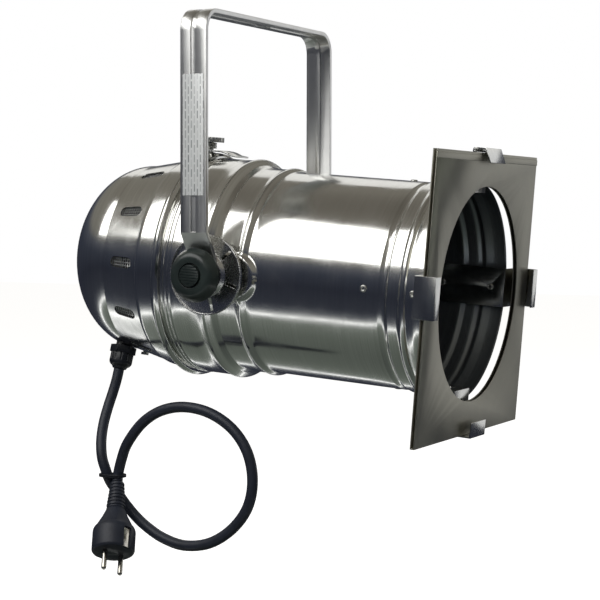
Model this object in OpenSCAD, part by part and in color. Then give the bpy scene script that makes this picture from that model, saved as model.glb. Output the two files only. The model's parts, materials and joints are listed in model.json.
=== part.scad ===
// Long-nose PAR 56 lantern (parcan): a lamp housing in two halves, hung from a U-shaped yoke.
// Origin: centre of the hanging hole, on the yoke's top face. +Z up, the beam leaves along -Y.
// The lantern's own frame has its origin where the beam axis passes over the tilt axis:
// "fore" values count forward along the beam, radii and heights count from the beam axis.

/* [Yoke] */
// Outside width over the two legs
yoke_w = 254; // [244:1:320]
// Height of the top face over the tilt axis
yoke_h = 234; // [226:1:300]
// Width of the flat strap
strap_w = 26; // [22:1:34]
// Thickness of the strap
strap_t = 4; // [3:0.5:5]
// Outside radius of the two top bends
bend_r = 20; // [14:1:30]
// Radius of the hanging hole
hang_hole_r = 5.25; // [4:0.25:7]
// Width of the pressed groove along the strap
groove_w = 5; // [3:0.5:8]
// Depth of the pressed groove
groove_d = 1.2; // [0.6:0.1:1.6]
// Nose-down angle of the lantern at rest
aim_down = 4.5; // [0:0.5:20]

/* [Housing] */
// Outside radius of the long front tube
tube_r = 94; // [92:1:112]
// Sheet thickness of both housings
wall = 1.5; // [1:0.1:2.5]
// Distance from the tilt axis forward to the tube's front rim
nose_len = 209; // [190:1:250]
// Distance from the tilt axis back to the front housing's rear edge
tail_len = 47; // [44:1:54]
// Length of the vented band of the rear housing
band_len = 40; // [34:1:48]
// Depth of the spun dome
dome_len = 66; // [56:1:80]
// Number of vent slots round the band
vent_count = 12; // [8:1:16]
// Length of a vent slot
vent_len = 25; // [14:1:27]
// Width of a vent slot
vent_w = 10; // [6:1:12]

/* [Colour frame] */
// Side of the square colour frame
frame_side = 250; // [244:1:270]
// Radius of its round window
window_r = 95.5; // [88:0.5:100]
// Sheet thickness of each leaf
leaf_t = 1; // [0.8:0.1:1.4]
// Gap between the two leaves, where the filter lies
leaf_gap = 2.2; // [1.6:0.1:3]
// Width of the three holder strips
strip_w = 36; // [24:1:44]
// Thickness of the holder strips
strip_t = 1.2; // [0.8:0.1:1.6]

/* [Pivots] */
// Radius of the pivot bolts
bolt_r = 4; // [3:0.5:5]
// Radius of the friction discs
disc_r = 36; // [28:1:40]
// Radius of the locking knobs
knob_r = 24; // [18:1:26]
// Thickness of a locking knob
knob_t = 20; // [14:1:26]

/* [Lamp] */
// Radius of the lamp's front rim
lamp_r = 89; // [86:0.5:89.5]
// Depth of the lamp's reflector
lamp_len = 96; // [84:1:98]

/* [Lead] */
// Diameter of the mains lead
cord_d = 10; // [8:0.5:11]
// Radius of the plug's body
plug_r = 20; // [18:0.5:21]

/* [Hidden] */

$fn = 96;
eps = 0.01;         // overlap that makes a cut clean
gap = 0.3;          // air between pieces of different bodies
slip = 0.1;         // radial play of a turning fit
axis_rise = 2;      // beam axis above the tilt axis

// Front housing, radii of its steps and beads
mid_r = tube_r + 1.5;
back_r = tube_r + 7.5;
step_crest_r = back_r + 1.6;
step_fore = -6.5;
bead_fore = 29;
bead_r = mid_r + 1.5;
groove_fore = nose_len - 41.5;
nose_bead_fore = nose_len - 23;
mouth_r = tube_r + 4.5;
lip_r = back_r + 0.6;

// Rear housing
spigot_r = back_r - wall - gap;
rim_fore = -tail_len - 7.5;
rim_r = back_r + 4.5;
seam_fore = -tail_len - 31;
seam_r = tube_r + 4.3;
band_fore = seam_fore - band_len;
band_r = tube_r - 4.8;
dome_fore = band_fore - dome_len;
vent_mid_fore = seam_fore - 6 - vent_len / 2;
function band_radius(fore) = band_r + (seam_r - 0.8 - band_r) * (fore - band_fore) / (seam_fore - band_fore);
// Radius of the dome at a place behind its edge
function dome_radius(fore) = band_r * sqrt(1 - pow((band_fore - fore) / dome_len, 2));

// Colour frame and its holders
frame_thick = 2 * leaf_t + leaf_gap;
frame_fore = nose_len + 11;
frame_back = frame_fore - frame_thick;
frame_drop = 1.6;
holder_back = nose_len + 0.5;
holder_front = holder_back + 18;
side_play = 2;
strip_in = 4.5;
lip_in = 10;
rivet_fores = [nose_len - 60, nose_len - 12];
rivet_r = 3.2;

// Pivots: distances from the middle plane
disc_in = step_crest_r + gap;
disc_step = 3;
disc_t = 1.2;
disc_hub_r = 17;
disc_rim_h = 3.4;
leg_in = disc_in + disc_step + disc_t + gap;
leg_out = leg_in + strap_t;
yoke_half = max(yoke_w / 2, leg_out);
washer_t = 1.5;
pad_r = 20;
pad_fore = 24.5;
pad_out = tube_r + 4;
knob_in = leg_out + washer_t + 2 * gap;
cap_r = 9.5;
cap_h = 4.5;
joggle_top = 38;
joggle_bottom = 14;
leg_tail = 17.5;
leg_corner_r = 6;
corner_y = strap_w / 2 - leg_corner_r;
groove_stop = 14;

// Latch on top of the rear housing
latch_fore = -tail_len - 16;
latch_base = rim_r + 0.6;
plate_w = 24;
plate_t = 1.5;
latch_screw_r = 3;

// Lamp
lamp_fore = -tail_len + 4;
neck_r = 24;
socket_r = 21;
socket_len = 20;
socket_front = lamp_fore - lamp_len - 2;
socket_back = socket_front - socket_len;

// Cable gland, on the shoulder of the dome
gland_side = -24;
gland_fore = band_fore - 12;
gland_surface_r = dome_radius(gland_fore);
gland_angle = asin(gland_side / gland_surface_r);
gland_tip = 24;
gland_r = 11;

// ---- helpers -------------------------------------------------------------

// Places its children in the lantern's own frame, at the rest angle
module lantern() translate([0, 0, -yoke_h]) rotate([aim_down, 0, 0]) translate([0, 0, axis_rise]) children();
// Turns a profile about the beam axis; profile points are [radius, fore]
module about_beam(points, turn = 360) rotate([90, 0, 0]) rotate_extrude(angle = turn) polygon(points);
module beam_cyl(r, from, to) translate([0, -from, 0]) rotate([90, 0, 0]) cylinder(r = r, h = to - from);
// A cylinder along X between two distances from the middle plane, on the near (-1) or far (1) side
module side_cyl(side, r, from, to) translate([side * from, 0, 0]) rotate([0, side * 90, 0])
    cylinder(r = r, h = to - from);
// A cylinder along X about the tilt axis, given in the lantern's frame
module pivot_cyl(side, r, from, to) translate([0, 0, -axis_rise]) side_cyl(side, r, from, to);

function unit(v) = v / norm(v);
function left_of(v) = [-v[1], v[0]];
// Direction of a polyline's corner, and the offset point that keeps a ribbon's thickness there
function edge_dir(p, i) = unit(p[min(i + 1, len(p) - 1)] - p[min(i, len(p) - 2)]);
function corner_offset(p, i, d) =
    let (a = edge_dir(p, max(i - 1, 0)), b = edge_dir(p, i), n = unit(left_of(a) + left_of(b)))
    p[i] + n * d / (n * left_of(b));
// Outline of a bent strip that follows a path, from offset d1 to offset d2 of it
function ribbon(p, d1, d2) = concat(
    [for (i = [0 : len(p) - 1]) corner_offset(p, i, d1)],
    [for (i = [len(p) - 1 : -1 : 0]) corner_offset(p, i, d2)]);
function arc(c, r, from, to, n = 8) = [for (i = [0 : n]) let (a = from + (to - from) * i / n) c + r * [cos(a), sin(a)]];
function mirror_x(p) = [for (i = [len(p) - 1 : -1 : 0]) [-p[i][0], p[i][1]]];
// A wall of even thickness inside an outline of [radius, fore] points
function shell_of(p, t) = ribbon(p, 0, t);

// Point k of a smooth curve through hand-set points, and the whole curve with n steps a span
function spline_at(p, i, t) =
    let (a = p[max(i - 1, 0)], b = p[i], c = p[i + 1], d = p[min(i + 2, len(p) - 1)])
    0.5 * (2 * b + (c - a) * t + (2 * a - 5 * b + 4 * c - d) * t * t + (3 * b - a - 3 * c + d) * t * t * t);
function spline(p, n) = concat(
    [for (i = [0 : len(p) - 2], k = [0 : n - 1]) spline_at(p, i, k / n)], [p[len(p) - 1]]);
function tangent(q, i) = unit(q[min(i + 1, len(q) - 1)] - q[max(i - 1, 0)]);
// A round tube swept along a curve, closed at both ends
module sweep(q, r, sides, up = [1, 0, 0]) {
    n = len(q);
    across = [for (i = [0 : n - 1]) let (t = tangent(q, i)) unit(cross(t, cross(up, t)))];
    rings = [for (i = [0 : n - 1], k = [0 : sides - 1])
        let (t = tangent(q, i), u = across[i], v = cross(t, u), a = 360 * k / sides)
        q[i] + r * (cos(a) * u + sin(a) * v)];
    sidewalls = [for (i = [0 : n - 2], k = [0 : sides - 1]) let (m = (k + 1) % sides)
        [i * sides + k, (i + 1) * sides + k, (i + 1) * sides + m, i * sides + m]];
    first = [for (k = [0 : sides - 1]) k];
    last = [for (k = [sides - 1 : -1 : 0]) (n - 1) * sides + k];
    polyhedron(rings, concat(sidewalls, [first], [last]), convexity = 10);
}

// ---- yoke ----------------------------------------------------------------

// Middle line of the near half of the strap, [x, height over the tilt axis], from the bottom up
half_strap = concat(
    [[-leg_out + strap_t / 2, -leg_tail], [-leg_out + strap_t / 2, joggle_bottom],
     [-yoke_half + strap_t / 2, joggle_top]],
    arc([-yoke_half + bend_r, yoke_h - bend_r], bend_r - strap_t / 2, 180, 90));
strap_line = concat(half_strap, mirror_x(half_strap));
// The pressed groove runs from the joggle to a little way short of the hanging hole
groove_half = concat([for (p = half_strap) if (p[1] > joggle_top - 1) p], [[-groove_stop, yoke_h - strap_t / 2]]);

module strap_slice(line, d1, d2, w) translate([0, w / 2, -yoke_h]) rotate([90, 0, 0])
    linear_extrude(w) polygon(ribbon(line, d1, d2));

module yoke_strap() color("Silver") difference() {
    union() {
        strap_slice(strap_line, -strap_t / 2, strap_t / 2, strap_w);
        strap_slice(groove_half, -strap_t / 2 - groove_d, 0, groove_w);
        strap_slice(mirror_x(groove_half), -strap_t / 2 - groove_d, 0, groove_w);
    }
    strap_slice(groove_half, strap_t / 2 - groove_d, strap_t, groove_w);
    strap_slice(mirror_x(groove_half), strap_t / 2 - groove_d, strap_t, groove_w);
    translate([0, 0, -2 * strap_t]) cylinder(r = hang_hole_r, h = 3 * strap_t);
    for (side = [-1, 1]) translate([0, 0, -yoke_h]) {
        side_cyl(side, bolt_r + slip, leg_in - 1, leg_out + 1);
        // rounded corners at the lower end of each leg
        for (edge = [-1, 1]) difference() {
            translate([side > 0 ? leg_in - 1 : -leg_out - 1, edge > 0 ? corner_y : -strap_w / 2 - 1, -leg_tail - 1])
                cube([strap_t + 2, strap_w / 2 + 1 - corner_y, leg_corner_r + 1]);
            translate([0, edge * corner_y, -leg_tail + leg_corner_r]) side_cyl(side, leg_corner_r, leg_in - 2, leg_out + 2);
        }
    }
}

label_h = 106;
label_low = 70;
module rating_label() color("White")
    translate([-yoke_half - 0.35, -strap_w / 2 + 2.5, -yoke_h + label_low]) cube([0.3, strap_w - 5, label_h]);

// ---- front housing ---------------------------------------------------------

tube_profile = concat(
    [[back_r - 1.6, -tail_len], [back_r, -tail_len]],
    arc([back_r - 1, -tail_len + 2], 1.6, -60, 60, 6),
    arc([back_r - 1, -tail_len + 6], 1.6, -60, 60, 6),
    [[back_r, -tail_len + 9], [back_r, step_fore - 8], [back_r + 0.7, step_fore - 4]],
    arc([step_crest_r - 3, step_fore], 3, -20, 60, 6),
    [[mid_r + 2.2, step_fore + 6], [mid_r, step_fore + 11], [mid_r, bead_fore - 5]],
    arc([bead_r - 4, bead_fore], 4, -45, 45, 8),
    [[tube_r + 0.2, bead_fore + 5.5], [tube_r, bead_fore + 8], [tube_r, groove_fore - 5]],
    [[tube_r - 1.2, groove_fore - 1.5], [tube_r - 1.2, groove_fore + 1], [tube_r + 1.5, groove_fore + 4.5],
     [tube_r + 1.5, nose_bead_fore - 5]],
    arc([tube_r - 1, nose_bead_fore], 4.5, -50, 50, 8),
    [[mouth_r - 1.6, nose_bead_fore + 6], [mouth_r, nose_bead_fore + 12], [mouth_r, nose_len - 3]],
    arc([mouth_r - 1.4, nose_len - 1.6], 1.6, -30, 90, 6));

// Pressed pad round each pivot: a round-ended block, run from the tilt axis forward
module pad(side, r, from, to) translate([0, 0, -axis_rise]) {
    side_cyl(side, r, from, to);
    translate([0, -pad_fore, 0]) side_cyl(side, r, from, to);
    translate([side > 0 ? from : -to, -pad_fore, -r]) cube([to - from, pad_fore, 2 * r]);
}
module front_tube() color("Silver") lantern() difference() {
    union() {
        about_beam(shell_of(tube_profile, wall));
        for (side = [-1, 1]) difference() {
            pad(side, pad_r, tube_r - 6, pad_out);
            beam_cyl(tube_r - wall / 2, -pad_r, 2 * pad_r + pad_fore);
        }
    }
    for (side = [-1, 1]) pad(side, pad_r - wall, tube_r - 8, pad_out - wall);
    for (side = [-1, 1]) {
        pivot_cyl(side, bolt_r + slip, mid_r - 8, back_r + 5);
        for (fore = rivet_fores, turn = [0, 90]) rotate([0, turn, 0]) translate([0, -fore, 0])
            side_cyl(side, rivet_r / 2, tube_r - 5, mouth_r + 2);
    }
}

// Path of a side holder's inner face, [distance from the middle plane, fore]
strip_at = tube_r - wall - strip_in;
strip_end = nose_len - 72;
back_face = holder_back + strip_t;
holder_out = frame_side / 2 + side_play;
bottom_out = frame_side / 2 + frame_drop + 0.2;
function holder_path(out, lip) = [[strip_at, strip_end], [strip_at, back_face], [out, back_face],
    [out, holder_front], [out - lip, holder_front]];

// A sheet strip bent along a path, and its two rivet holes
module bent(path, w) translate([0, 0, -w / 2]) mirror([0, 1, 0]) linear_extrude(w) polygon(ribbon(path, -strip_t, 0));
module strip(path) difference() {
    bent(path, strip_w);
    for (fore = rivet_fores) translate([strip_at - 2, -fore, 0]) rotate([0, 90, 0])
        cylinder(r = rivet_r / 2, h = 6);
}
module holder_left() color("Gainsboro") lantern() mirror([1, 0, 0]) strip(holder_path(holder_out, lip_in));
module holder_right() color("Gainsboro") lantern() strip(holder_path(holder_out, lip_in));
module holder_bottom() color("Gainsboro") lantern() rotate([0, 90, 0]) strip(holder_path(bottom_out, lip_in + 2.5));

// Hinge of the flap over the colour frame's top edge
hinge_r = 2;
hinge_pin_r = 1;
hinge_h = frame_side / 2 - frame_drop + hinge_r + 0.4;
hinge_fore = back_face + 1;
knuckle_w = 23.4;
flap_w = 38;
module on_top() rotate([0, -90, 0]) children();
module hinge_cyl(r, w) translate([hinge_h, -hinge_fore, 0]) cylinder(r = r, h = w, center = true);
module holder_top() color("Gainsboro") lantern() on_top() difference() {
    union() {
        strip([[strip_at, strip_end], [strip_at, back_face], [hinge_h, back_face]]);
        hinge_cyl(hinge_r, strip_w);
    }
    hinge_cyl(hinge_pin_r + slip, 2 * strip_w);
    translate([hinge_h - hinge_r - 0.4, -hinge_fore - 2 * hinge_r, -knuckle_w / 2 - gap])
        cube([3 * hinge_r, 4 * hinge_r, knuckle_w + 2 * gap]);
}
flap_low = hinge_h + hinge_r - strip_t;
flap_path = [[flap_low, hinge_fore], [flap_low, frame_fore + 1.5], [hinge_h - 11, frame_fore + 6.5]];
module retainer_flap() color("Gainsboro") lantern() on_top() difference() {
    union() {
        bent(flap_path, flap_w);
        hinge_cyl(hinge_r, knuckle_w);
    }
    hinge_cyl(hinge_pin_r + slip, 2 * strip_w);
    for (side = [-1, 1]) translate([hinge_h - 1, -hinge_fore - hinge_r - 0.6, side > 0 ? knuckle_w / 2 : -flap_w])
        cube([2 * hinge_r, 2 * hinge_r, flap_w - knuckle_w / 2]);
}
module retainer_pin() color("Gray") lantern() on_top() hinge_cyl(hinge_pin_r, strip_w + 2);

// One tubular rivet: shank, domed outer head, flat inner head
module rivet(fore, inner, outer) translate([0, -fore, 0]) {
    side_cyl(1, rivet_r / 2, strip_at - 1.2, outer + 1);
    side_cyl(1, rivet_r, strip_at - 1.2, strip_at);
    side_cyl(1, rivet_r / 2 + 0.8, strip_at + strip_t, inner);
    side_cyl(1, rivet_r, outer, outer + 1.2);
}
module holder_rivets() color("DimGray") lantern() {
    for (turn = [0, 90, 180, 270]) rotate([0, turn, 0]) {
        rivet(rivet_fores[0], tube_r - wall, tube_r);
        rivet(rivet_fores[1], mouth_r - wall - 1.2, mouth_r);
    }
}

// ---- pivots ----------------------------------------------------------------

// Dished disc: flat web, raised hub, rolled rim and six slots
module friction_disc(side) color("LightSteelBlue") lantern() difference() {
    translate([side * disc_in, 0, -axis_rise]) rotate([0, side * 90, 0]) rotate_extrude() polygon([
        [bolt_r + slip, disc_step], [disc_hub_r - 1, disc_step], [disc_hub_r + 2, 0], [disc_r, 0],
        [disc_r, disc_rim_h], [disc_r - disc_t, disc_rim_h], [disc_r - disc_t, disc_t], [disc_hub_r + 2.6, disc_t],
        [disc_hub_r - 0.4, disc_step + disc_t], [bolt_r + slip, disc_step + disc_t]]);
    for (k = [0 : 5]) translate([side * disc_in, 0, -axis_rise]) rotate([60 * k + 15, 0, 0])
        translate([-5, disc_hub_r + 4, -1.4]) cube([10, disc_r - disc_hub_r - 7.5, 2.8]);
}
module friction_disc_near() friction_disc(-1);
module friction_disc_far() friction_disc(1);

// Carriage bolt: domed head inside the housing, spacer sleeve to the disc, shank out to the knob
bolt_end = knob_in + knob_t - 4;
module pivot_bolt(side) color("Gray") lantern() {
    pivot_cyl(side, bolt_r, mid_r - 6, bolt_end);
    pivot_cyl(side, 9, mid_r - 8, mid_r - 4.5);
    pivot_cyl(side, 7, disc_in, disc_in + disc_step);
}
module pivot_bolt_near() pivot_bolt(-1);
module pivot_bolt_far() pivot_bolt(1);

module washer(side) color("Gray") lantern() difference() {
    pivot_cyl(side, 12, leg_out + gap, leg_out + gap + washer_t);
    pivot_cyl(side, bolt_r + slip, leg_out, leg_out + washer_t + 1);
}
module washer_near() washer(-1);
module washer_far() washer(1);

// Round knob: narrow foot, wide crowned body, hollow for the brass insert and the cap
insert_r = 6.5;
knob_profile = concat(
    [[insert_r, 0], [12, 0], [12, 4], [knob_r - 4, 6.5]],
    arc([knob_r - 3.5, 10], 3.5, -60, 30, 6),
    arc([knob_r - 9, knob_t - 7], 7, 20, 90, 8),
    [[cap_r + 1.5, knob_t], [cap_r + 1.5, knob_t - 3], [insert_r, knob_t - 3]]);
module knob(side) color("DarkSlateGray") lantern() translate([side * knob_in, 0, -axis_rise])
    rotate([0, side * 90, 0]) rotate_extrude() polygon(knob_profile);
module knob_near() knob(-1);
module knob_far() knob(1);

module knob_insert(side) color("Peru") lantern() difference() {
    pivot_cyl(side, insert_r, knob_in, knob_in + knob_t - 3.2);
    pivot_cyl(side, bolt_r + slip, knob_in - 1, knob_in + knob_t);
}
module knob_insert_near() knob_insert(-1);
module knob_insert_far() knob_insert(1);

module knob_cap(side) color("Black") lantern() translate([side * (knob_in + knob_t - 3), 0, -axis_rise])
    rotate([0, side * 90, 0]) difference() {
        cylinder(r = cap_r, h = cap_h);
        for (k = [-3 : 3]) translate([k * 2.4 - 0.5, -cap_r, cap_h - 0.6]) cube([1, 2 * cap_r, 1]);
    }
module knob_cap_near() knob_cap(-1);
module knob_cap_far() knob_cap(1);

// ---- colour frame ----------------------------------------------------------

hem_h = 5;
hem_t = 0.5;
hem_drop = 2.5;
module leaf(front) translate([0, -front + leaf_t, -frame_drop]) rotate([90, 0, 0]) difference() {
    translate([-frame_side / 2, -frame_side / 2, 0]) cube([frame_side, frame_side, leaf_t]);
    translate([0, 0, -1]) cylinder(r = window_r, h = leaf_t + 2);
}
module frame_front_leaf() color("DarkGray") lantern() {
    leaf(frame_fore);
    // folded hem along the top edge, left out behind the flap
    for (side = [-1, 1]) translate([side > 0 ? flap_w / 2 + 1 : -frame_side / 2, -frame_fore - hem_t,
        frame_side / 2 - frame_drop - hem_drop - hem_h])
        cube([frame_side / 2 - flap_w / 2 - 1, hem_t + eps, hem_h]);
}
module frame_back_leaf() color("DarkGray") lantern() {
    leaf(frame_back + leaf_t);
    // bottom fold that joins the two leaves
    translate([-frame_side / 2, -frame_fore + leaf_t, -frame_side / 2 - frame_drop])
        cube([frame_side, leaf_gap + eps, leaf_t]);
}

// ---- rear housing ------------------------------------------------------------

// Outline from the spigot's front edge back to the middle of the dome
rear_profile = concat(
    [[spigot_r, -tail_len + 12], [spigot_r, -tail_len - 3.2], [rim_r - 2.5, -tail_len - 3.6]],
    arc([rim_r - 3, rim_fore], 3, 60, -60, 8),
    [[back_r - 0.5, rim_fore - 5], [seam_r + 1, seam_fore + 3], [seam_r, seam_fore],
     [seam_r - 0.8, seam_fore - 1]],
    [for (k = [0 : 17]) let (a = 5 * k) [band_r * cos(a), band_fore - dome_len * sin(a)]],
    [[0, dome_fore]]);
// The same shell's inside, at one sheet's thickness
rear_inner = concat(
    [[0, dome_fore + wall]],
    [for (k = [17 : -1 : 0]) let (a = 5 * k) [(band_r - wall) * cos(a), band_fore - (dome_len - wall) * sin(a)]],
    [[seam_r - 0.8 - wall, seam_fore - 1], [seam_r - wall, seam_fore + 0.5], [seam_r + 1 - wall, seam_fore + 3],
     [back_r - 0.5 - wall, rim_fore - 5], [spigot_r - wall, rim_fore], [spigot_r - wall, -tail_len + 12]]);

// Places a child on the outside of the housing, at an angle round the beam from the top
module around(fore, angle) rotate([0, angle, 0]) translate([0, -fore, 0]) children();

module vent_slot() rotate([90, 0, 0]) {
    for (s = [-1, 1]) translate([0, 0, 0]) rotate([-90, 0, 0]) translate([0, s * (vent_len - vent_w) / 2, 0])
        cylinder(r = vent_w / 2, h = 20);
    translate([-vent_w / 2, 0, -(vent_len - vent_w) / 2]) cube([vent_w, 20, vent_len - vent_w]);
}
earth_angle = 189;
earth_fore = seam_fore - 34;
module rear_housing() color("Silver") lantern() difference() {
    about_beam(concat(rear_profile, rear_inner));
    for (k = [0 : vent_count - 1]) around(vent_mid_fore, 360 * k / vent_count + 90)
        translate([0, 0, band_r - 8]) vent_slot();
    around(gland_fore, 180 - gland_angle) translate([0, 0, gland_surface_r - 8]) cylinder(r = 8, h = 16);
    around(latch_fore, 0) translate([0, 0, back_r - 6]) cylinder(r = 5, h = 10);
    around(earth_fore, earth_angle) translate([0, 0, band_r - 8]) cylinder(r = 2, h = 16);
}

mesh_fores = [seam_fore - 3, band_fore + 2];
module vent_mesh() color("DarkGray") lantern() difference() {
    about_beam([
    [band_radius(mesh_fores[0]) - wall - 0.3, mesh_fores[0]], [band_radius(mesh_fores[1]) - wall - 0.3, mesh_fores[1]],
    [band_radius(mesh_fores[1]) - wall - 0.9, mesh_fores[1]], [band_radius(mesh_fores[0]) - wall - 0.9, mesh_fores[0]]]);
    around(earth_fore, earth_angle) translate([0, 0, band_r - 8]) cylinder(r = 2.4, h = 16);
}

seat_t = 1.2;
seat_back = lamp_fore - 9 - gap - seat_t;
// Ledge inside the spigot that the lamp's rim rests on
module lamp_seat() color("Silver") lantern() about_beam([
    [spigot_r - wall, lamp_fore - 4], [spigot_r - wall, seat_back - 3], [spigot_r - wall - seat_t, seat_back - 3],
    [spigot_r - wall - seat_t, seat_back], [lamp_r - 3, seat_back], [lamp_r - 3, seat_back + seat_t],
    [spigot_r - wall - seat_t, seat_back + seat_t], [spigot_r - wall - seat_t, lamp_fore - 4]]);
// Spring ring in front of the lamp's rim, sprung outwards into the spigot
ring_t = 2;
module lamp_ring() color("Gray") lantern() about_beam([
    [lamp_r - 2, lamp_fore + gap], [spigot_r - wall, lamp_fore + gap], [spigot_r - wall, lamp_fore + gap + ring_t],
    [lamp_r + 1, lamp_fore + gap + ring_t], [lamp_r - 2, lamp_fore + gap + 1]]);

lamp_profile = concat(
    [[lamp_r, lamp_fore], [lamp_r, lamp_fore - 7], [lamp_r - 4, lamp_fore - 9]],
    [for (k = [1 : 9]) let (s = k / 10) [neck_r + (lamp_r - 6 - neck_r) * sqrt(1 - s), lamp_fore - 9 - (lamp_len - 24) * s]],
    [[neck_r, lamp_fore - lamp_len + 14], [neck_r, lamp_fore - lamp_len], [0, lamp_fore - lamp_len]]);
lamp_hollow = concat(
    [[0, lamp_fore - lamp_len + 12], [neck_r - 4, lamp_fore - lamp_len + 16]],
    [for (k = [9 : -1 : 1]) let (s = k / 10) [neck_r - 4 + (lamp_r - 6 - neck_r) * sqrt(1 - s), lamp_fore - 9 - (lamp_len - 28) * s]],
    [[lamp_r - 6, lamp_fore - 3.4], [lamp_r - 3, lamp_fore - 3.4], [lamp_r - 3, lamp_fore]]);
module lamp_reflector() color("WhiteSmoke") lantern() about_beam(concat(lamp_profile, lamp_hollow));
// Pressed front glass, slightly crowned
lens_crown = 4;
module lamp_lens() color("LightCyan") lantern() about_beam(concat(
    [[0, lamp_fore + lens_crown - 3]],
    [for (k = [1 : 6]) let (s = k / 6) [(lamp_r - 3.2) * s, lamp_fore + lens_crown * (1 - s * s) - 3]],
    [for (k = [6 : -1 : 0]) let (s = k / 6) [(lamp_r - 3.2) * s, lamp_fore + lens_crown * (1 - s * s)]]));

prong_gap = 9;
module lamp_prongs() color("Goldenrod") lantern() for (side = [-1, 1])
    translate([side * prong_gap - 1, -lamp_fore + lamp_len, -4]) cube([2, 14, 8]);
module socket_body() color("Linen") lantern() difference() {
    beam_cyl(socket_r, socket_back, socket_front);
    for (side = [-1, 1]) {
        translate([side * prong_gap - 3.2, -socket_front - 1, -5]) cube([6.4, socket_len - 3, 10]);
        translate([0, -socket_back + 1, side * 13]) rotate([90, 0, 0]) cylinder(r = 1.6, h = socket_len + 2);
    }
}
module socket_contacts() color("Goldenrod") lantern() for (side = [-1, 1]) difference() {
    translate([side * prong_gap - 3, -socket_front + 0.5, -4.8]) cube([6, socket_len - 5, 9.6]);
    translate([side * prong_gap - 1.1, -socket_front - 1, -4.9]) cube([2.2, 14, 9.8]);
}
module socket_screws() color("Gray") lantern() for (side = [-1, 1]) translate([0, 0, side * 13]) {
    beam_cyl(1.5, socket_back, socket_front - 1);
    beam_cyl(3, socket_back - 1.8, socket_back);
}

// Leads inside the dome, from the gland's inner end to the socket and the earth screw
gland_in = around_point(gland_fore, 180 - gland_angle, gland_surface_r - 13.6);
function around_point(fore, angle, r) = [r * sin(angle), -fore, r * cos(angle)];
lead_r = 1.6;
lead_end = -socket_back + 0.6;
module lead(side, drop) lantern() sweep(spline([
    gland_in + [side * 2, 0.5 * side, 0], gland_in + [side * 2, side * 0.5, 8],
    [gland_in[0] + side * 4, gland_in[1] + 6 + 3 * side, -drop - 16],
    [side * 4 - 6, lead_end + 5, -drop - 7], [side * 6, lead_end + 9, -13], [side * 7, lead_end + 6, -3],
    [side * 7, lead_end + 2.5, 0],
    [side * 7, lead_end, 0]], 4), lead_r, 8);
module lead_live() color("SaddleBrown") lead(-1, 24);
module lead_neutral() color("RoyalBlue") lead(1, 20);
earth_foot = around_point(earth_fore, earth_angle, band_radius(earth_fore) - wall - 6.5);
module lead_earth() color("YellowGreen") lantern() sweep(spline([
    gland_in + [0, -3.4, 0], gland_in + [1, -3.4, 8], gland_in + [3, -10, 12],
    earth_foot + [-1, 4, 8], earth_foot + [-0.5, 1, 3], earth_foot], 4), lead_r, 8);
module earth_screw() color("Gray") lantern() around(earth_fore, earth_angle)
    translate([0, 0, band_radius(earth_fore) - wall - 6]) {
        cylinder(r = 1.9, h = 10);
        translate([0, 0, 8.6]) cylinder(r = 3.6, h = 2.6);
    }
module earth_nut() color("Gray") lantern() around(earth_fore, earth_angle)
    translate([0, 0, band_radius(earth_fore) - wall - 4.6]) difference() {
        cylinder(r = 4, h = 3, $fn = 6);
        translate([0, 0, -1]) cylinder(r = 1.95, h = 6);
    }

// Cable gland: threaded body through the dome, dome nut outside, locknut inside
module on_gland() around(gland_fore, 180 - gland_angle) translate([0, 0, gland_surface_r]) children();
cord_r = cord_d / 2;
module gland_body() color("Black") lantern() on_gland() difference() {
    union() {
        translate([0, 0, -10]) cylinder(r = 7.8, h = 14);
        translate([0, 0, 1.8]) cylinder(r = gland_r + 1.5, h = 7, $fn = 6);
    }
    translate([0, 0, -11]) cylinder(r = cord_r + 0.2, h = 30);
}
module gland_nut() color("Black") lantern() on_gland() difference() {
    translate([0, 0, 9]) rotate_extrude() polygon(concat(
        [[cord_r + 0.2, 0], [gland_r, 0], [gland_r, 8]], arc([gland_r - 5, 8], 5, 0, 70, 5),
        [[cord_r + 1.5, gland_tip - 9], [cord_r + 0.2, gland_tip - 9]]));
    for (k = [0 : 11]) rotate(30 * k) translate([gland_r + 0.4, 0, 8]) cylinder(r = 1.1, h = 8);
}
module gland_locknut() color("Black") lantern() on_gland() translate([0, 0, -9.7]) difference() {
    cylinder(r = 10.5, h = 4, $fn = 6);
    translate([0, 0, -1]) cylinder(r = 7.85, h = 6);
}

// ---- latch ---------------------------------------------------------------------

// Clamp plate in side view, [fore, height]; it bridges both rims
plate_path = concat(
    [[latch_fore - 12, latch_base + 0.3], [latch_fore + 14, latch_base + 0.5]],
    arc([latch_fore + 14, latch_base + 0.5 - 30], 30, 82, 63, 4),
    [[latch_fore + 35, lip_r + 0.8]]);
module latch_plate() color("DimGray") lantern() difference() {
    translate([-plate_w / 2, 0, 0]) rotate([0, 0, 0]) rotate([90, 0, 90]) linear_extrude(plate_w)
        polygon([for (p = ribbon(plate_path, 0, plate_t)) [-p[0], p[1]]]);
    translate([0, -latch_fore, 0]) cylinder(r = latch_screw_r + slip, h = 2 * rim_r);
}
// Bush riveted into the rear housing, threaded for the latch screw
module latch_bush() color("Gray") lantern() translate([0, -latch_fore, 0]) difference() {
    union() {
        translate([0, 0, back_r - 5]) cylinder(r = 4.9, h = latch_base - back_r + 4.8);
        translate([0, 0, back_r - 6]) cylinder(r = 6.2, h = 3);
    }
    translate([0, 0, back_r - 10]) cylinder(r = latch_screw_r + slip, h = 30);
}
screw_top = latch_base + plate_t + 8;
module latch_screw() color("Gray") lantern() translate([0, -latch_fore, back_r - 9])
    cylinder(r = latch_screw_r, h = screw_top + 2 - back_r + 9);
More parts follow.
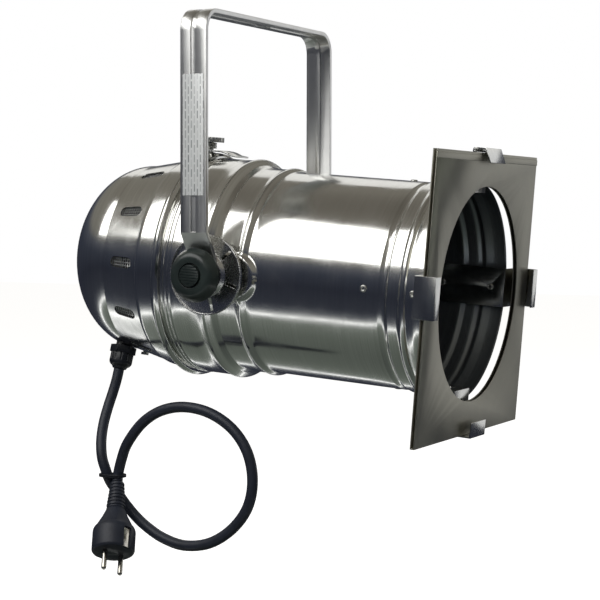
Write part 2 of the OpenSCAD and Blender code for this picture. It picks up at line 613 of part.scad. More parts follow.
// Compression spring between the plate and the knob
spring_r = 5.4;
spring_wire_r = 0.6;
spring_turns = 4;
spring_low = latch_base + plate_t + 0.5 + spring_wire_r + 0.3;
spring_high = screw_top - spring_wire_r - 0.3;
module latch_spring() color("Silver") lantern() translate([0, -latch_fore, 0]) sweep(
    [for (k = [0 : 16 * spring_turns]) let (a = 22.5 * k) [spring_r * cos(a), spring_r * sin(a),
        spring_low + (spring_high - spring_low) * k / (16 * spring_turns)]], spring_wire_r, 8, [0, 0, 1]);
module latch_knob() color("Silver") lantern() translate([0, -latch_fore, screw_top]) difference() {
    cylinder(r = 12.5, h = 4.6);
    for (k = [0 : 23]) rotate(15 * k) translate([12.9, 0, -1]) cylinder(r = 0.8, h = 7, $fn = 16);
    translate([0, 0, -1]) cylinder(r = latch_screw_r, h = 3);
}

// ---- lead and plug -----------------------------------------------------------------

// Route of the lead's middle line in the row's frame, from the gland down, round the loop and to the plug
cord_points = [
    [-20.5, 135.1, -293.8], [-25.1, 136.4, -309.8], [-30.6, 137.9, -328.9], [-33.9, 139.0, -340.4],
    [-37.7, 140.8, -352], [-44, 142.4, -366], [-52, 142.2, -381], [-60, 139.5, -396], [-65, 135.5, -410],
    [-65.5, 131.5, -421], [-62.4, 128.8, -432], [-57.9, 124.4, -442], [-56.2, 116.5, -453], [-58, 104, -464],
    [-62.5, 88, -473], [-69, 66, -481], [-74, 40, -485], [-77, 12, -480], [-78, -12, -465], [-78, -28, -444],
    [-78, -33, -419], [-77, -27, -394], [-76, -11, -374], [-75, 13, -361], [-74, 40, -357], [-72, 66, -362],
    [-69.5, 88, -375], [-66.5, 106, -395], [-63.5, 114.5, -411], [-62.9, 119, -426.4], [-67, 117, -433]];
cord_steps = 3;
// Direction of the plug: down, and leaning to the near side and the front
plug_turn = [0, 215, 26.4];
pin_turn = 45;
plug_top = cord_points[len(cord_points) - 1];
relief_len = 28;
relief_start = 1;
body_len = 44;
module on_plug() translate(plug_top) rotate([0, 0, plug_turn[2]]) rotate([0, plug_turn[1], 0])
    rotate(pin_turn) children();

module cord() color("Black") sweep(spline(cord_points, cord_steps), cord_r, 10);
// Thin tie round both runs of the lead, just above the plug
tie_ends = [[-64.2, 130.2], [-63.1, 118.8]];
tie_z = -427;
tie_wire = 1.4;
tie_slack = 1.4;
module tie_outline(r) hull() for (p = tie_ends) translate(p) circle(r = r, $fn = 32);
module cord_tie() color("DimGray") translate([0, 0, tie_z]) linear_extrude(2 * tie_wire, center = true) difference() {
    tie_outline(cord_r + tie_slack + tie_wire);
    tie_outline(cord_r + tie_slack);
}
module plug_strain_relief() color("Black") on_plug() rotate_extrude() polygon(concat(
    [[0, relief_start], [cord_r + 1.4, relief_start]],
    [for (k = [0 : 6]) each [[cord_r + 1.8 + 0.35 * k, 2 + 3.6 * k], [cord_r + 1.8 + 0.35 * k, 3.8 + 3.6 * k],
        [cord_r + 0.9 + 0.35 * k, 4.2 + 3.6 * k], [cord_r + 0.9 + 0.35 * k, 5.4 + 3.6 * k]]],
    [[cord_r + 4, relief_len], [0, relief_len]]));
module plug_body() color("Black") on_plug() translate([0, 0, relief_len + 0.05]) difference() {
    rotate_extrude() polygon(concat(
        [[0, 0], [cord_r + 3.5, 0], [cord_r + 7, 8]], arc([plug_r - 8, 24], 8, -50, 0, 5),
        [[plug_r, 24], [plug_r, body_len - 3]], arc([plug_r - 3, body_len - 3], 3, 0, 90, 4), [[0, body_len]]));
    for (side = [-1, 1]) {
        translate([side * 9.5, 0, body_len - 12]) cylinder(r = 2.4, h = 14);
        translate([-4, side > 0 ? plug_r - 3 : -plug_r - 1, body_len - 20]) cube([8, 4, 24]);
    }
}
module plug_pins() color("Silver") on_plug() for (side = [-1, 1]) translate([side * 9.5, 0, relief_len + body_len - 11]) {
    cylinder(r = 2.35, h = 28);
    translate([0, 0, 28]) sphere(r = 2.35, $fn = 32);
}
module plug_earths() color("Silver") on_plug() for (side = [-1, 1])
    translate([-3.5, side > 0 ? plug_r - 2.9 : -plug_r + 1.7, relief_len + body_len - 19.5]) cube([7, 1.2, 19]);

yoke_strap();
rating_label();
front_tube();
holder_left();
holder_right();
holder_bottom();
holder_top();
holder_rivets();
retainer_flap();
retainer_pin();
friction_disc_near();
friction_disc_far();
pivot_bolt_near();
pivot_bolt_far();
knob_near();
knob_far();
knob_insert_near();
knob_insert_far();
knob_cap_near();
knob_cap_far();
washer_near();
washer_far();
frame_front_leaf();
frame_back_leaf();
rear_housing();
vent_mesh();
lamp_seat();
lamp_ring();
lamp_reflector();
lamp_lens();
lamp_prongs();
socket_body();
socket_contacts();
socket_screws();
lead_live();
lead_neutral();
lead_earth();
earth_screw();
earth_nut();
gland_body();
gland_nut();
gland_locknut();
latch_plate();
latch_spring();
latch_knob();
latch_screw();
latch_bush();
cord();
cord_tie();
plug_strain_relief();
plug_body();
plug_pins();
plug_earths();
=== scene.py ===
# Long-nose stage lantern: polished spun housings hung in a bent yoke, a colour frame in its
# holders, and a looped mains lead with its plug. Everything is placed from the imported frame.
import json
import math

import bmesh
import bpy
import numpy as np
from mathutils import Matrix, Vector


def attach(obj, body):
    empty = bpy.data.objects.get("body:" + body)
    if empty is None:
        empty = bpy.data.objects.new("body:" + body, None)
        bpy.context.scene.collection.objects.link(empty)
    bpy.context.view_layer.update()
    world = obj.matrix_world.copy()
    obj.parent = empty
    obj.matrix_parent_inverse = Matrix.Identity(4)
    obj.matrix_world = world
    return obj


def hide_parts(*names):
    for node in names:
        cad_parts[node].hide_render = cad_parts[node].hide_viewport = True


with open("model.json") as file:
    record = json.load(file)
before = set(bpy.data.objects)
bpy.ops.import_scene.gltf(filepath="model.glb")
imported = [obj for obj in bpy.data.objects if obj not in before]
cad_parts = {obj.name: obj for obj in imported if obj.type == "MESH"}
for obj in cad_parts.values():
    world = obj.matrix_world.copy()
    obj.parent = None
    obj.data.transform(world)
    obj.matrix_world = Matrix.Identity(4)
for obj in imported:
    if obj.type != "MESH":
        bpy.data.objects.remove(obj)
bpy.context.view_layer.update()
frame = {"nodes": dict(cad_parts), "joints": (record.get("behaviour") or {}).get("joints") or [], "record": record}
mm = 0.001
print("frame loaded with", len(frame["nodes"]), "nodes")

# the lantern's own directions, from its joints
jointByName = {joint["name"]: joint for joint in frame["joints"]}
tiltPoint = np.array(jointByName["yoke_tilt"]["pos_m"])
acrossDir = np.array([1.0, 0.0, 0.0])
backDir = np.array(jointByName["rear_housing_slide"]["axis"])
foreDir = -backDir
upDir = np.cross(acrossDir, backDir)
aimAngle = math.atan2(backDir[2], backDir[1])
beamRise = 2.0  # mm, beam axis above the tilt axis

# the body and the material slot of each node, from the record
nodeBody = {}
for bodyName, bodyNodes in frame["record"]["behaviour"]["bodies"].items():
    for node in bodyNodes:
        nodeBody[node] = bodyName
nodeSlot = {part["node"]: part["material_slot"] for part in frame["record"]["subparts"]}


# a place in the lantern, in mm, as a point of the frame, in metres: the tilt point, plus the
# way across, the way to the front and the height from the beam axis, each along its direction
def place(points):
    points = np.asarray(points, float)
    rise = points[..., 2:3] + beamRise
    flat = points[..., 0:1] * acrossDir + points[..., 1:2] * foreDir
    return tiltPoint + mm * (flat + rise * upDir)


# the camera looks at the near side from a little in front
view = {
    "eye": (-1.4551, -0.7658, -0.1828),  # metres
    "target": (0.01653, -0.03321, -0.26075),
    "lens": 104.76,  # mm, on a film of this width
    "film": 36,
    "farthest": 50,
    "roll": 0.0022,  # radians
}


def makeCamera(spec):
    camera = bpy.data.cameras.new("camera")
    camera.lens = spec["lens"]
    camera.sensor_width = spec["film"]
    camera.clip_end = spec["farthest"]
    eye = Vector(spec["eye"])
    ahead = (Vector(spec["target"]) - eye).normalized()
    right = ahead.cross(Vector((0, 0, 1))).normalized()
    up = right.cross(ahead)
    right = (right + spec["roll"] * up).normalized()
    up = right.cross(ahead)
    holder = bpy.data.objects.new("camera", camera)
    axes = Matrix((right, up, -ahead)).transposed().to_4x4()
    holder.matrix_world = Matrix.Translation(eye) @ axes
    bpy.context.scene.collection.objects.link(holder)
    bpy.context.scene.camera = holder


makeCamera(view)


# points of an arc: centre plus radius times (cos, sin) of evenly spaced angles
def arcPoints(centre, radius, start, end, count=12):
    angle = np.radians(np.linspace(start, end, count))
    return np.stack([centre[0] + radius * np.cos(angle), centre[1] + radius * np.sin(angle)], 1)


# one line from several, end to end
def joinLines(*parts):
    return np.vstack([np.atleast_2d(np.asarray(part, float)) for part in parts])


# length along a line at each of its points: the running sum of its steps
def runOf(line):
    return np.concatenate([[0], np.cumsum(np.linalg.norm(np.diff(line, axis=0), axis=1))])


# the same line with its points at the given distances along it
def pointsAt(line, run, distances):
    return np.stack([np.interp(distances, run, line[:, k]) for k in range(line.shape[1])], 1)


softening = {"fineStep": 0.2, "turn": 9.0, "stride": 14.0}  # mm, degrees, mm


# a line blurred by a bell curve of this spread, then thinned to a point for each turn or stride;
# between the first two values of close, along the beam, the stride is its third
def softLine(line, spread, turn=softening["turn"], close=None):
    fineStep, stride = softening["fineStep"], softening["stride"]
    run = runOf(line)
    fine = pointsAt(line, run, np.linspace(0, run[-1], int(run[-1] / fineStep) + 2))
    reach = int(3 * spread / fineStep) + 1
    bell = np.exp(-0.5 * (np.arange(-reach, reach + 1) * fineStep / spread) ** 2)
    bell = bell / bell.sum()
    padded = np.pad(fine, ((reach, reach), (0, 0)), mode="reflect", reflect_type="odd")
    soft = np.stack([np.convolve(padded[:, k], bell, mode="valid") for k in range(2)], 1)
    step = np.diff(soft, axis=0)
    heading = np.unwrap(np.arctan2(step[:, 1], step[:, 0]))
    bend = np.abs(np.diff(heading, prepend=heading[0]))
    strides = np.full(len(step), stride)
    if close:
        strides[(soft[1:, 1] > close[0]) & (soft[1:, 1] < close[1])] = close[2]
    share = bend / math.radians(turn) + np.linalg.norm(step, axis=1) / strides
    cost = np.concatenate([[0], np.cumsum(share)])
    return pointsAt(soft, cost, np.linspace(0, cost[-1], int(cost[-1]) + 2))


# each point moved along the line's left normal
def offsetLine(line, distance):
    ahead = np.gradient(line, axis=0)
    ahead /= np.linalg.norm(ahead, axis=1)[:, None]
    return line + distance * np.stack([-ahead[:, 1], ahead[:, 0]], 1)


# every (radius, fore) point carried round the beam: across = radius sin a, up = radius cos a
def turned(profile, angles):
    angle = np.radians(angles)
    grid = np.empty((len(profile), len(angle), 3))
    grid[..., 0] = profile[:, :1] * np.sin(angle)
    grid[..., 1] = profile[:, 1:2]
    grid[..., 2] = profile[:, :1] * np.cos(angle)
    return grid


# every (radius, height) point carried round an axis through origin, with u and v square to it
def turnedOn(profile, origin, axis, u, v, count):
    angle = np.linspace(0, 2 * math.pi, count, endpoint=False)[None, :, None]
    around = np.cos(angle) * np.asarray(u) + np.sin(angle) * np.asarray(v)
    return np.asarray(origin) + profile[:, None, :1] * around + profile[:, None, 1:2] * np.asarray(axis)


# tubes swept along many paths (count, n, 3) at once: each ring lies across the path's direction
def swept(paths, radius, sides, reference):
    ahead = np.gradient(paths, axis=1)
    ahead /= np.linalg.norm(ahead, axis=2)[..., None]
    across = np.cross(ahead, np.cross(np.broadcast_to(reference, ahead.shape), ahead))
    across /= np.linalg.norm(across, axis=2)[..., None]
    other = np.cross(ahead, across)
    angle = np.linspace(0, 2 * math.pi, sides, endpoint=False)[None, None, :, None]
    ring = np.cos(angle) * across[:, :, None] + np.sin(angle) * other[:, :, None]
    return paths[:, :, None] + np.asarray(radius)[..., None, None] * ring


# quads between neighbours of a grid, whose columns close on themselves and whose rows may
def gridFaces(rows, cols, closeRows, first):
    i = np.arange(rows if closeRows else rows - 1)[:, None]
    j = np.arange(cols)[None, :]
    nextRow = (i + 1) % rows
    nextCol = (j + 1) % cols
    quads = [i * cols + j, i * cols + nextCol, nextRow * cols + nextCol, nextRow * cols + j]
    return first + np.stack([q + 0 * i + 0 * j for q in quads], -1).reshape(-1, 4)


# one mesh from pairs of a grid and whether its rows close: points that coincide are joined,
# quads that lost a side become triangles, and a closed mesh that came out inside out, which is
# a negative sum of its corners' triple products, is turned
def pieceFrom(name, grids, sharpAngle, closed=True):
    corners, faces, count = [], [], 0
    for grid, closeRows in grids:
        rows, cols = grid.shape[:2]
        corners.append(grid.reshape(-1, 3))
        faces.append(gridFaces(rows, cols, closeRows, count))
        count += rows * cols
    corners, faces = np.vstack(corners), np.vstack(faces)
    cells = np.round(corners * 1e6).astype(np.int64)  # a thousandth of a millimetre
    _, first, index = np.unique(cells, axis=0, return_index=True, return_inverse=True)
    corners, faces = corners[first], index.reshape(-1)[faces]
    same = faces == np.roll(faces, -1, axis=1)
    quads = faces[same.sum(1) == 0]
    once = faces[same.sum(1) == 1]
    triangles = once[~same[same.sum(1) == 1]].reshape(-1, 3)
    fans = np.vstack([quads[:, [0, 1, 2]], quads[:, [0, 2, 3]], triangles])
    a, b, c = (corners[fans[:, k]] for k in range(3))
    if closed and np.einsum("ij,ij->", a, np.cross(b, c)) < 0:
        quads, triangles = quads[:, ::-1], triangles[:, ::-1]
    mesh = bpy.data.meshes.new(name)
    mesh.from_pydata(corners.tolist(), [], quads.tolist() + triangles.tolist())
    mesh.polygons.foreach_set("use_smooth", np.ones(len(mesh.polygons), bool))
    mesh.set_sharp_from_angle(angle=math.radians(sharpAngle))
    piece = bpy.data.objects.new(name, mesh)
    bpy.context.scene.collection.objects.link(piece)
    return piece


# an sRGB hex colour as linear red, green, blue, alpha
def linear(hexColour):
    parts = [int(hexColour[k:k + 2], 16) / 255 for k in (1, 3, 5)]
    even = [c / 12.92 if c <= 0.04045 else ((c + 0.055) / 1.055) ** 2.4 for c in parts]
    return (*even, 1.0)


# one node with its own settings, its sockets' values, and links into it
def addNode(tree, kind, values=None, links=None, **settings):
    node = tree.nodes.new(kind)
    for key, value in settings.items():
        setattr(node, key, value)
    for key, value in (values or {}).items():
        node.inputs[key].default_value = value
    for key, source in (links or {}).items():
        tree.links.new(source, node.inputs[key])
    return node


# an empty node tree with its shader, joined to the output
def newMaterial(name):
    material = bpy.data.materials.new(name)
    material.use_nodes = True
    tree = material.node_tree
    tree.nodes.clear()
    shader = addNode(tree, "ShaderNodeBsdfPrincipled")
    addNode(tree, "ShaderNodeOutputMaterial", links={"Surface": shader.outputs[0]})
    return material, tree, shader


# two colours mixed along a texture's value, between two of its levels
def ramp(tree, source, low, high, lowColour, highColour):
    node = addNode(tree, "ShaderNodeValToRGB", links={"Fac": source})
    node.color_ramp.elements[0].position = low
    node.color_ramp.elements[1].position = high
    node.color_ramp.elements[0].color = lowColour
    node.color_ramp.elements[1].color = highColour
    return node.outputs[0]


def grey(value):
    return (value, value, value, 1.0)


# object coordinates turned to the beam: x across, y back along the beam, z up from its axis
def beamSpace(tree):
    coordinates = addNode(tree, "ShaderNodeTexCoord")
    axisPoint = tiltPoint + beamRise * mm * upDir
    turn = {"Rotation": (-aimAngle, 0, 0), "Location": (0, 0, -float(axisPoint @ upDir))}
    return addNode(tree, "ShaderNodeMapping", turn,
                   {"Vector": coordinates.outputs["Object"]}).outputs[0]


# lines left by the spinning tool: noise along the sum of depth and radius, and hardly round
def spunLines(tree, linesPerMetre):
    around = 1.5  # changes to a metre of the way round
    space = beamSpace(tree)
    parts = addNode(tree, "ShaderNodeSeparateXYZ", links={0: space})
    flat = addNode(tree, "ShaderNodeVectorMath", {1: (1, 0, 1)}, {0: space}, operation="MULTIPLY")
    radius = addNode(tree, "ShaderNodeVectorMath", links={0: flat.outputs[0]}, operation="LENGTH")
    depth = addNode(tree, "ShaderNodeMath", links={0: parts.outputs[1], 1: radius.outputs["Value"]},
                    operation="ADD")
    joined = addNode(tree, "ShaderNodeCombineXYZ",
                     links={0: parts.outputs[0], 1: depth.outputs[0], 2: parts.outputs[2]})
    scaled = addNode(tree, "ShaderNodeVectorMath", {1: (around, linesPerMetre, around)},
                     {0: joined.outputs[0]}, operation="MULTIPLY")
    return addNode(tree, "ShaderNodeTexNoise", {"Scale": 1.0, "Detail": 3.0, "Roughness": 0.6},
                   {"Vector": scaled.outputs[0]}).outputs[0]


# noise with its period in mm, on object coordinates stretched by a scale
def objectNoise(tree, period, detail=3.0, stretch=(1, 1, 1)):
    coordinates = addNode(tree, "ShaderNodeTexCoord")
    mapped = addNode(tree, "ShaderNodeMapping", {"Scale": stretch},
                     {"Vector": coordinates.outputs["Object"]})
    return addNode(tree, "ShaderNodeTexNoise", {"Scale": 1 / (period * mm), "Detail": detail},
                   {"Vector": mapped.outputs[0]}).outputs[0]


# bump that the texture gives, its depth in mm, added to the bump before it
def bump(tree, height, depth, before=None):
    links = {"Height": height}
    if before:
        links["Normal"] = before
    return addNode(tree, "ShaderNodeBump", {"Strength": 1.0, "Distance": depth * mm}, links).outputs[0]


# spun and polished aluminium: mirror bright, drawn out by fine rings from the spinning tool
def spunAluminium():
    material, tree, shader = newMaterial("spunPolishedAluminium")
    lines = spunLines(tree, 900)  # a ring each 1.1 mm, because the real 0.2 mm ones don't show
    waves = objectNoise(tree, 70, 2.0)  # the sheet's slow waves over the former
    smears = objectNoise(tree, 26, 4.0)  # wiped by a palm or a cloth
    tree.links.new(ramp(tree, lines, 0.25, 0.8, linear("#dadad6"), linear("#efefec")),
                   shader.inputs["Base Color"])
    tree.links.new(ramp(tree, smears, 0.3, 0.75, grey(0.10), grey(0.21)), shader.inputs["Roughness"])
    tree.links.new(bump(tree, lines, 0.012, bump(tree, waves, 0.35)), shader.inputs["Normal"])
    shader.inputs["Metallic"].default_value = 1.0
    return material


# brushed metal: satin, with hairlines drawn out along one direction and soft smudges of the hand
def brushedMetal(name, dark, light, stretch, lowRough, highRough, lineDepth):
    material, tree, shader = newMaterial(name)
    hairs = objectNoise(tree, 1.4, 1.0, stretch)  # mm, because the real 0.1 mm ones don't show
    smudges = objectNoise(tree, 22, 3.0)
    tree.links.new(ramp(tree, smudges, 0.3, 0.75, linear(dark), linear(light)),
                   shader.inputs["Base Color"])
    tree.links.new(ramp(tree, hairs, 0.3, 0.7, grey(lowRough), grey(highRough)),
                   shader.inputs["Roughness"])
    tree.links.new(bump(tree, hairs, lineDepth), shader.inputs["Normal"])
    shader.inputs["Metallic"].default_value = 1.0
    return material


# zinc-plated sheet of the colour frame: olive-grey, satin, faintly clouded like galvanised steel
def platedSheet():
    material, tree, shader = newMaterial("satinZincSheet")
    clouds = objectNoise(tree, 30, 5.0)  # patches of the plating bath
    grain = objectNoise(tree, 1.6, 2.0, (0.15, 1, 1))  # rolling marks, coarse enough to show
    tree.links.new(ramp(tree, clouds, 0.25, 0.8, linear("#a3a195"), linear("#b8b6a9")),
                   shader.inputs["Base Color"])
    tree.links.new(ramp(tree, clouds, 0.3, 0.8, grey(0.46), grey(0.56)), shader.inputs["Roughness"])
    tree.links.new(bump(tree, grain, 0.006), shader.inputs["Normal"])
    shader.inputs["Metallic"].default_value = 1.0
    return material


# moulded plastic, rubber or glazed ceramic: soft highlights broken by a fine grain
def moulded(name, dark, light, roughness, grainMm, depth, coat=0.0):
    material, tree, shader = newMaterial(name)
    grain = objectNoise(tree, grainMm, 3.0)
    patches = objectNoise(tree, 18, 3.0)
    tree.links.new(ramp(tree, patches, 0.3, 0.75, linear(dark), linear(light)),
                   shader.inputs["Base Color"])
    tree.links.new(ramp(tree, grain, 0.3, 0.8, grey(roughness), grey(roughness * 1.35)),
                   shader.inputs["Roughness"])
    tree.links.new(bump(tree, grain, depth), shader.inputs["Normal"])
    shader.inputs["IOR"].default_value = 1.5
    shader.inputs["Coat Weight"].default_value = coat
    return material


# small turned or plated metal parts: bright, with light handling marks
def machined(name, dark, light, roughness, metallic=1.0):
    material, tree, shader = newMaterial(name)
    marks = objectNoise(tree, 3.0, 4.0)
    tree.links.new(ramp(tree, marks, 0.3, 0.75, linear(dark), linear(light)),
                   shader.inputs["Base Color"])
    tree.links.new(ramp(tree, marks, 0.3, 0.8, grey(roughness), grey(roughness * 1.6)),
                   shader.inputs["Roughness"])
    tree.links.new(bump(tree, marks, 0.003), shader.inputs["Normal"])
    shader.inputs["Metallic"].default_value = metallic
    return material


# inside of a spun shell, not polished: dull and bluish, with the same rings, 2 mm apart; its colour is kept far
# darker than bare aluminium, painted shade for the dark inside of the tube
def shadedDullSkin():
    material, tree, shader = newMaterial("spunUnpolishedAluminium")
    lines = spunLines(tree, 500)
    # these greys are painted shade: the inside of the tube shows dark, and bare aluminium would be far lighter
    tree.links.new(ramp(tree, lines, 0.25, 0.8, linear("#83888c"), linear("#9ca1a4")),
                   shader.inputs["Base Color"])
    shader.inputs["Roughness"].default_value = 0.34
    shader.inputs["Metallic"].default_value = 0.9
    return material


# printed foil: satin white, with rows of plain grey dashes 8.5 mm long and 3 mm apart
def labelFoil():
    material, tree, shader = newMaterial("printedFoil")
    coordinates = addNode(tree, "ShaderNodeTexCoord")
    turn = addNode(tree, "ShaderNodeMapping", {"Rotation": (0, math.radians(90), 0)},
                   {"Vector": coordinates.outputs["Object"]})
    dashes = {
        "Color1": linear("#a4a6a6"), "Color2": linear("#e6e8e6"), "Mortar": linear("#f2f4f2"),
        "Scale": 1.0, "Mortar Size": 0.0010, "Mortar Smooth": 0.2, "Bias": 0.0,
        "Brick Width": 0.0085, "Row Height": 0.0030,
    }
    rows = addNode(tree, "ShaderNodeTexBrick", dashes, {"Vector": turn.outputs[0]})
    tree.links.new(rows.outputs[0], shader.inputs["Base Color"])
    tree.links.new(ramp(tree, objectNoise(tree, 12), 0.3, 0.8, grey(0.28), grey(0.42)),
                   shader.inputs["Roughness"])
    shader.inputs["Metallic"].default_value = 0.12
    return material


# pressed lens glass: clear, with a shallow ripple
def lensGlass():
    material, tree, shader = newMaterial("pressedGlass")
    ripple = objectNoise(tree, 9, 1.0)
    tree.links.new(bump(tree, ripple, 0.25), shader.inputs["Normal"])
    shader.inputs["Base Color"].default_value = linear("#eef4f3")
    shader.inputs["Roughness"].default_value = 0.04
    shader.inputs["IOR"].default_value = 1.5
    shader.inputs["Transmission Weight"].default_value = 1.0
    return material


# one finish for each slot of the record; the hairlines of the strap and clips run along them
finishes = {
    "polished_aluminium": spunAluminium(),
    "yoke_aluminium": brushedMetal("brushedAluminium", "#dadad7", "#e8e8e5",
                                   (1, 1, 0.012), 0.30, 0.38, 0.0012),
    "holder_steel": brushedMetal("brightZincSteel", "#cfcfcb", "#e4e4df",
                                 (1, 0.3, 0.02), 0.18, 0.26, 0.002),
    "frame_sheet": platedSheet(),
    "zinc_hardware": machined("zincPlatedSteel", "#b4b4b0", "#d2d2cd", 0.20, 0.85),
    "label_foil": labelFoil(),
    "black_plastic": moulded("glossyPhenolic", "#232b29", "#313a37", 0.30, 1.2, 0.004, 0.2),
    "matte_black": moulded("blackNylon", "#14161b", "#1e2128", 0.34, 0.8, 0.01),
    "brass": machined("turnedBrass", "#b08a42", "#d0ab62", 0.22),
    "mesh_steel": machined("meshWire", "#a9aaaa", "#d6d7d6", 0.25, 0.8),
    "reflector_glass": machined("silveredGlass", "#8c8d8e", "#a3a4a5", 0.12),
    "lens_glass": lensGlass(),
    "ceramic": moulded("glazedSteatite", "#d9d2bf", "#e8e2d1", 0.25, 2.0, 0.006),
    "lead_brown": moulded("brownSilicone", "#4a2a16", "#5b351d", 0.45, 1.0, 0.01),
    "lead_blue": moulded("blueSilicone", "#1c3a86", "#27499c", 0.45, 1.0, 0.01),
    "lead_green": moulded("greenSilicone", "#4d7d1f", "#86a62c", 0.45, 1.0, 0.01),
    "cord_rubber": moulded("neopreneRubber", "#20242e", "#2b303c", 0.42, 1.4, 0.02),
    "pin_nickel": machined("nickelPlatedBrass", "#c3bfb4", "#dedad0", 0.14),
}
# the inside skin: dull metal whose darkened colour is painted shade
dullAluminiumWithPaintedShade = shadedDullSkin()
# the friction discs are turned and left bright, duller than the polished shells
turnedDisc = brushedMetal("turnedAluminium", "#d6d6d4", "#ececea", (1, 1, 1), 0.24, 0.30, 0.0006)
print("materials made:", len(finishes) + 2)


# gives a finished piece the material of its node's slot and its node's body, and hides the node that it stands for
def finishPiece(piece, node):
    own = turnedDisc if node.startswith("friction_disc") else finishes[nodeSlot[node]]
    piece.data.materials.clear()
    piece.data.materials.append(own)
    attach(piece, nodeBody[node])
    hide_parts(node)
    return piece


# a node's name as a piece's name
def camel(node):
    first, *rest = node.split("_")
    return first + "".join(word.title() for word in rest)


easing = {"edge": 0.25, "sharp": 30, "flat": 0.6, "weld": 0.002}  # mm, degrees, degrees, mm


# a copy of a node with its triangles joined, its flat faces made whole and its edges eased
def easedCopy(spec, node):
    mesh = frame["nodes"][node].data.copy()
    work = bmesh.new()
    work.from_mesh(mesh)
    bmesh.ops.remove_doubles(work, verts=work.verts, dist=spec["weld"] * mm)
    bmesh.ops.dissolve_limit(work, angle_limit=math.radians(spec["flat"]),
                             verts=work.verts, edges=work.edges)
    work.to_mesh(mesh)
    work.free()
    mesh.polygons.foreach_set("use_smooth", np.ones(len(mesh.polygons), bool))
    if mesh.has_custom_normals:
        mesh.normals_split_custom_set([(0, 0, 0)] * len(mesh.loops))
    piece = bpy.data.objects.new(camel(node), mesh)
    bpy.context.scene.collection.objects.link(piece)
    bevel = piece.modifiers.new("easedEdges", "BEVEL")
    bevel.width = spec["edge"] * mm
    bevel.segments = 2
    bevel.limit_method = "ANGLE"
    bevel.angle_limit = math.radians(spec["sharp"])
    bevel.harden_normals = True
    return finishPiece(piece, node)


# front housing, in mm: radii of its stretches, where it ends along the beam, and its pads
frontTube = {
    "wall": 1.5, "tube": 94.0, "mid": 95.5, "back": 101.5, "mouth": 98.5,
    "nose": 209.0, "tail": -47.0, "spread": 0.35,
    "padHalf": 20.0, "padFore": 24.5, "padOut": 98.0, "padEdge": 2.6,
    "padTurn": 14, "padStep": 1.4,  # degrees each side of a pivot, and mm along the beam
}


# a profile of steps, rolled beads and a rolled rim, turned round the beam
def makeFrontTube(spec):
    back, mid, tube, mouth = spec["back"], spec["mid"], spec["tube"], spec["mouth"]
    nose, tail = spec["nose"], spec["tail"]
    outer = joinLines(
        [[back - 1.6, tail], [back, tail]],
        arcPoints([back - 1, tail + 2], 1.6, -60, 60),  # two fine beads at the back edge
        arcPoints([back - 1, tail + 6], 1.6, -60, 60),
        [[back, tail + 9], [back, -14.5], [back + 0.7, -10.5]],
        arcPoints([back - 1.4, -6.5], 3, -20, 60),  # shoulder over the step
        [[mid + 2.2, -0.5], [mid, 4.5], [mid, 24]],
        arcPoints([mid - 2.5, 29], 4, -45, 45),  # bead where the long tube starts
        [[tube + 0.2, 34.5], [tube, 37], [tube, 162.5]],
        [[tube - 1.2, 166], [tube - 1.2, 168.5], [tube + 1.5, 172], [tube + 1.5, 181]],
        arcPoints([tube - 1, 186], 4.5, -50, 50),  # bead behind the mouth
        [[mouth - 1.6, 192], [mouth, 198], [mouth, nose - 3]],
        arcPoints([mouth - 1.4, nose - 1.6], 1.6, -30, 90))  # rolled rim
    padReach = (-2, spec["padFore"] + spec["padHalf"] + 4, spec["padStep"])
    outline = softLine(outer, spec["spread"], close=padReach)
    skin = offsetLine(softLine(outer, spec["spread"], 4), spec["wall"])
    inside = softLine(skin, 0.3, 18, close=padReach)
    padTurn = spec["padTurn"]
    overPad = np.linspace(-padTurn, padTurn, 30)[:-1]
    side = np.concatenate([overPad, np.linspace(padTurn, 180 - padTurn, 62)[:-1]])
    angles = np.concatenate([side + 90, side + 270])
    rows = np.vstack([outline, inside[::-1]])
    grid = turned(rows, angles)
    # the pad round each pivot: inside a round-ended outline the wall is pressed out to a flat,
    # and the edge rises by the usual smooth step of its share of the edge's width
    nearest = np.clip(grid[..., 1], 0, spec["padFore"])
    far = np.hypot(grid[..., 1] - nearest, grid[..., 2] + beamRise)
    rise = np.clip((spec["padHalf"] + spec["padEdge"] / 2 - far) / spec["padEdge"], 0, 1)
    isOutside = np.arange(len(rows)) < len(outline)
    flat = np.where(isOutside, spec["padOut"], spec["padOut"] - spec["wall"])
    reach = np.abs(grid[..., 0])
    lift = rise * rise * (3 - 2 * rise) * np.clip(flat[:, None] - reach, 0, None)
    grid[..., 0] += np.sign(grid[..., 0]) * lift
    return pieceFrom("frontTube", [(place(grid), True)], 50)


# the faces that look towards the beam get the dull skin, darkened with painted shade for the inside of the tube:
# their normals point against the way out from the beam axis, by more than this cosine
def paintShadeInside(piece, skin, cosine=0.3):
    count = len(piece.data.polygons)
    centres, normals = np.empty(count * 3), np.empty(count * 3)
    piece.data.polygons.foreach_get("center", centres)
    piece.data.polygons.foreach_get("normal", normals)
    fromAxis = centres.reshape(-1, 3) - place([0, 0, 0])
    outward = fromAxis - (fromAxis @ backDir)[:, None] * backDir
    facing = np.einsum("ij,ij->i", outward, normals.reshape(-1, 3))
    inside = facing < -cosine * np.linalg.norm(outward, axis=1)
    piece.data.materials.append(skin)
    piece.data.polygons.foreach_set("material_index", inside.astype(np.int32))


tubePiece = finishPiece(makeFrontTube(frontTube), "front_tube")
# the inward faces of the tube take the darkened skin, painted shade inside the tube
paintShadeInside(tubePiece, dullAluminiumWithPaintedShade)
print("front tube made")

# rear housing, in mm: spigot, rolled rim, a vented cone and a spun dome
rearHousing = {
    "wall": 1.5, "spigot": 99.7, "rim": 106.0, "rimFore": -54.5,
    "coneTop": 97.5, "coneBottom": 89.2, "topFore": -79.0, "bottomFore": -118.0,
    "domeDepth": 66.0,
    "ventCount": 12, "ventLong": 25.0, "ventWide": 10.0, "ventFore": -96.5,
    "across": 20, "along": 14,  # steps round and along each vent's sector
}


